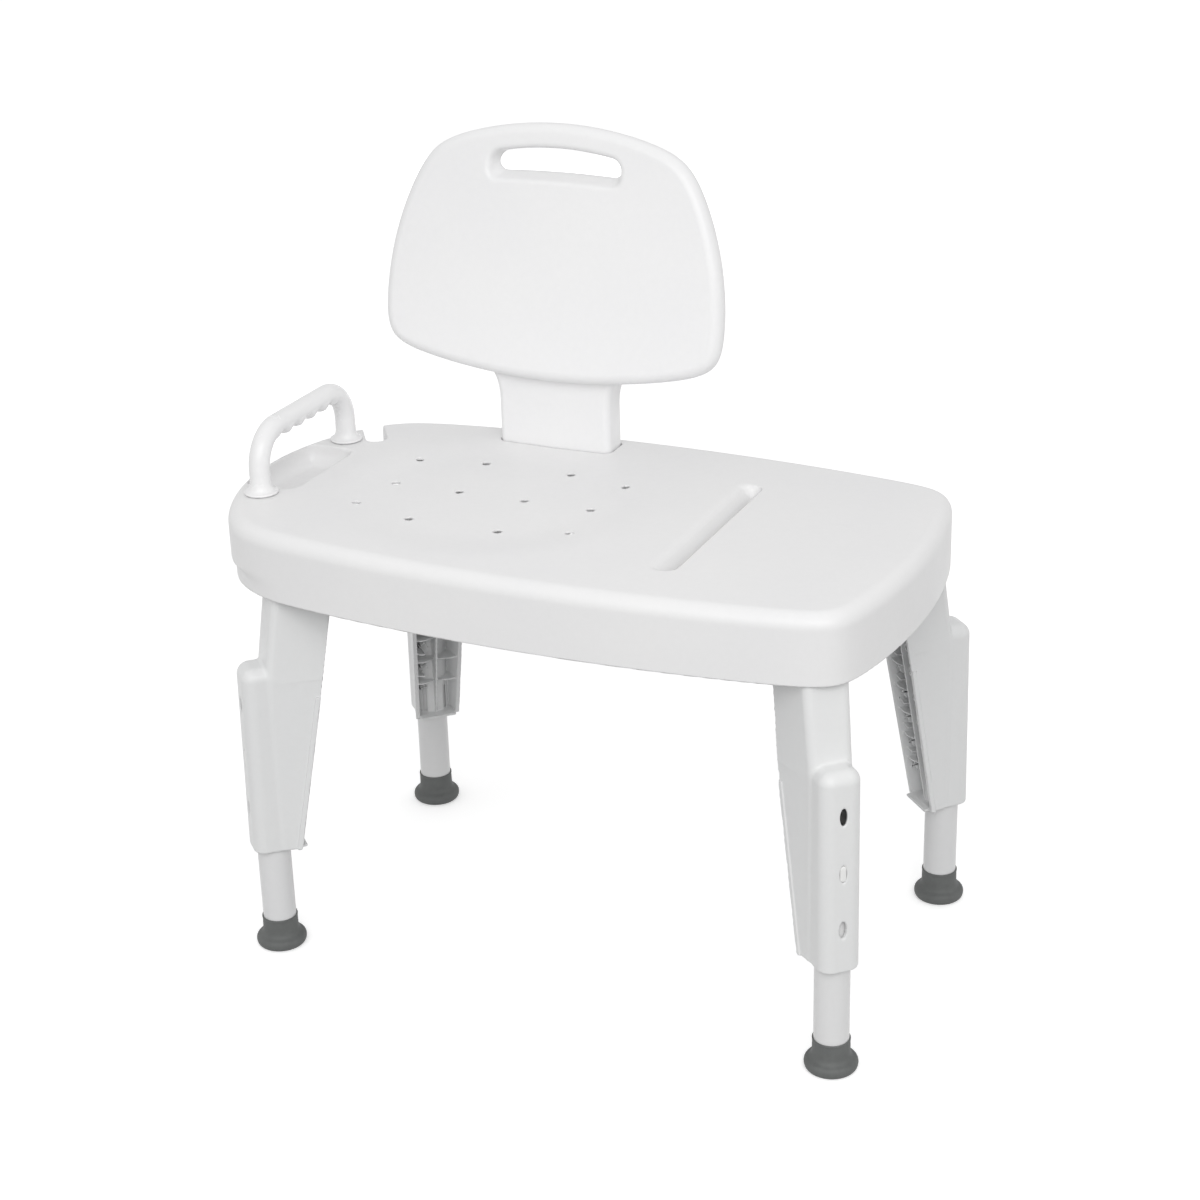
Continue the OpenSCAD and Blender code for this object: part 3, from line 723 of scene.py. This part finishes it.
# rubber tip: ringed sole, wide rolled foot, waist, and collar with a small bead
SOLE = [(0.02, 0.0), (9.6, 0.0), (10.0, 0.9), (13.0, 0.9), (13.4, 0.0), (17.0, 0.0), (17.4, 0.9),
        (19.4, 0.9), (19.8, 0.0)]
ROLLED = [(21.6, 0.0), (23.6, 0.7), (25.0, 2.6), (25.7, 5.4), (25.3, 8.4), (23.6, 10.6),
          (20.8, 12.2), (18.9, 14.6), (18.25, 18.0), (18.05, 25.0), (17.95, 30.2)]
COLLAR = [(18.2, 30.8), (18.3, 31.6), (18.15, 32.5), (17.8, 33.0), (17.3, 32.9), (16.95, 32.4),
          (16.95, TUBE_LO), (0.02, TUBE_LO)]

# each piece of a leg: its mesh, material, body (a leg's own name is added where it ends in _),
# CAD node and slot
BRACKET_BOX = (-88, -34, FOOT_Z), (24, 34, HEAD_Z)
TUBE_BOX = (-17, -17, TUBE_LO), (17, 17, TUBE_HI)
BUTTON_BOX = (10, -6, LOCK - 10), (21, 6, LOCK + 10)
LEG_PIECES = {
    "bracket_": (surface(bracket, *BRACKET_BOX, 1.3, 90000),
                 bracket_mat, "bench", "leg_bracket_", "bracket_plastic"),
    "tube_": (surface(tube, *TUBE_BOX, 1.2, 16000),
              tube_mat, "leg_", "leg_tube_", "tube_plastic"),
    "tip_": (lathe(SOLE + smooth_profile(ROLLED) + COLLAR),
             rubber_mat, "leg_", "foot_tip_", "tip_rubber"),
    "button_": (surface(button, *BUTTON_BOX, 0.6, 6000),
                button_mat, "button_", "snap_button_", "button_plastic"),
}
LEGS = {"fl": (-1, -1), "fr": (1, -1), "bl": (-1, 1), "br": (1, 1)}

for leg, (right, rear) in LEGS.items():
    angle = math.atan2(rear, right)
    c, s = math.cos(angle), math.sin(angle)
    turn = np.array([[c, s, 0], [-s, c, 0], [0, 0, 1]])
    corner = np.array([LEG_X + right * LEG_HALF, rear * LEG_Y, 0])
    for what, ((pts, faces, normals), material, body, node, slot) in LEG_PIECES.items():
        piece(what + leg, corner + pts @ turn, faces, None if normals is None else normals @ turn,
              material, body + leg if body.endswith("_") else body, node + leg, slot)

# ---------------------------------------------------------------- carried-over CAD nodes
for name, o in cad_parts.items():
    if name.endswith("screws") or name.startswith("button_spring"):
        o.data.materials.clear()
        o.data.materials.append(screw_mat if name.endswith("screws") else spring_mat)

# ---------------------------------------------------------------- floor
FLOOR = 300  # metres from the middle to each side
floor_mesh = bpy.data.meshes.new("floor")
floor_mesh.from_pydata([(-FLOOR, -FLOOR, 0), (FLOOR, -FLOOR, 0), (FLOOR, FLOOR, 0),
                        (-FLOOR, FLOOR, 0)], [], [(0, 1, 2, 3)])
floor = bpy.data.objects.new("floor", floor_mesh)
bpy.context.scene.collection.objects.link(floor)
floor_mat = bpy.data.materials.new("floor")
floor_mat.use_nodes = True
floor_shader = floor_mat.node_tree.nodes["Principled BSDF"]
floor_shader.inputs["Base Color"].default_value = (0.9, 0.9, 0.9, 1)
floor_shader.inputs["Roughness"].default_value = 0.9
floor_shader.inputs["Specular IOR Level"].default_value = 0.1
floor_shader.inputs["Emission Color"].default_value = (1, 1, 1, 1)
floor_shader.inputs["Emission Strength"].default_value = 0.37
floor_mesh.materials.append(floor_mat)
floor.visible_diffuse = False

# ---------------------------------------------------------------- studio light
world = bpy.data.worlds.new("studio")
bpy.context.scene.world = world
world.use_nodes = True
nodes, links = world.node_tree.nodes, world.node_tree.links
background = nodes["Background"]
background.inputs["Color"].default_value = (1.0, 1.0, 1.0, 1)
height = nodes.new("ShaderNodeSeparateXYZ")
sky = nodes.new("ShaderNodeMapRange")     # darker below the horizon than above it
sky.inputs["From Min"].default_value = -0.15
sky.inputs["From Max"].default_value = 0.15
sky.inputs["To Min"].default_value = 0.38
sky.inputs["To Max"].default_value = 0.73
haze = nodes.new("ShaderNodeMath")        # white where the floor's far edge meets the sky
haze.operation = "COMPARE"
haze.inputs[1].default_value = 0.045
haze.inputs[2].default_value = 0.075
brighter = nodes.new("ShaderNodeMath")
brighter.operation = "MAXIMUM"
links.new(nodes.new("ShaderNodeTexCoord").outputs["Generated"], height.inputs[0])
links.new(height.outputs["Z"], sky.inputs["Value"])
links.new(height.outputs["Z"], haze.inputs[0])
links.new(sky.outputs["Result"], brighter.inputs[0])
links.new(haze.outputs["Value"], brighter.inputs[1])
links.new(brighter.outputs["Value"], background.inputs["Strength"])


def softbox(name, place, target, size, power):
    """Rectangular area light at a place, turned towards its target, in metres and watts."""
    data = bpy.data.lights.new(name, "AREA")
    data.shape = "RECTANGLE"
    data.size, data.size_y = size
    data.energy = power
    o = bpy.data.objects.new(name, data)
    o.location = place
    o.rotation_mode = "QUATERNION"
    o.rotation_quaternion = (Vector(target) - Vector(place)).to_track_quat("-Z", "Y")
    bpy.context.scene.collection.objects.link(o)
    return o


softbox("front", (0.4, -3.2, 2.6), (0, 0, 0.45), (2.4, 2.4), 35)
softbox("key", (2.0, -2.3, 2.4), (0, 0, 0.45), (1.8, 1.8), 31)
rear_fill = softbox("rear", (-0.8, 3.4, 0.3), (0, 0, 0.35), (2.6, 0.3), 10)
rear_fill.visible_glossy = False

# ---------------------------------------------------------------- camera, as in the photo
AZIMUTH, ELEVATION, ROLL = math.radians(25.10), math.radians(23.29), math.radians(-1.673)
CAMERA_AT = (0.9468, -1.9714, 1.2976)
camera_data = bpy.data.cameras.new("camera")
camera_data.sensor_width = 36.0
camera_data.lens = 71.93
camera_data.clip_end = 1000
camera = bpy.data.objects.new("camera", camera_data)
bpy.context.scene.collection.objects.link(camera)
back = Vector((math.sin(AZIMUTH) * math.cos(ELEVATION), -math.cos(AZIMUTH) * math.cos(ELEVATION),
               math.sin(ELEVATION)))
level = Vector((math.cos(AZIMUTH), math.sin(AZIMUTH), 0))
steep = back.cross(level)
across = math.cos(ROLL) * level + math.sin(ROLL) * steep
up = -math.sin(ROLL) * level + math.cos(ROLL) * steep
camera.matrix_world = Matrix([(across[i], up[i], back[i], CAMERA_AT[i]) for i in range(3)]
                             + [(0, 0, 0, 1)])
bpy.context.scene.camera = camera
bpy.context.scene.view_settings.view_transform = "Standard"
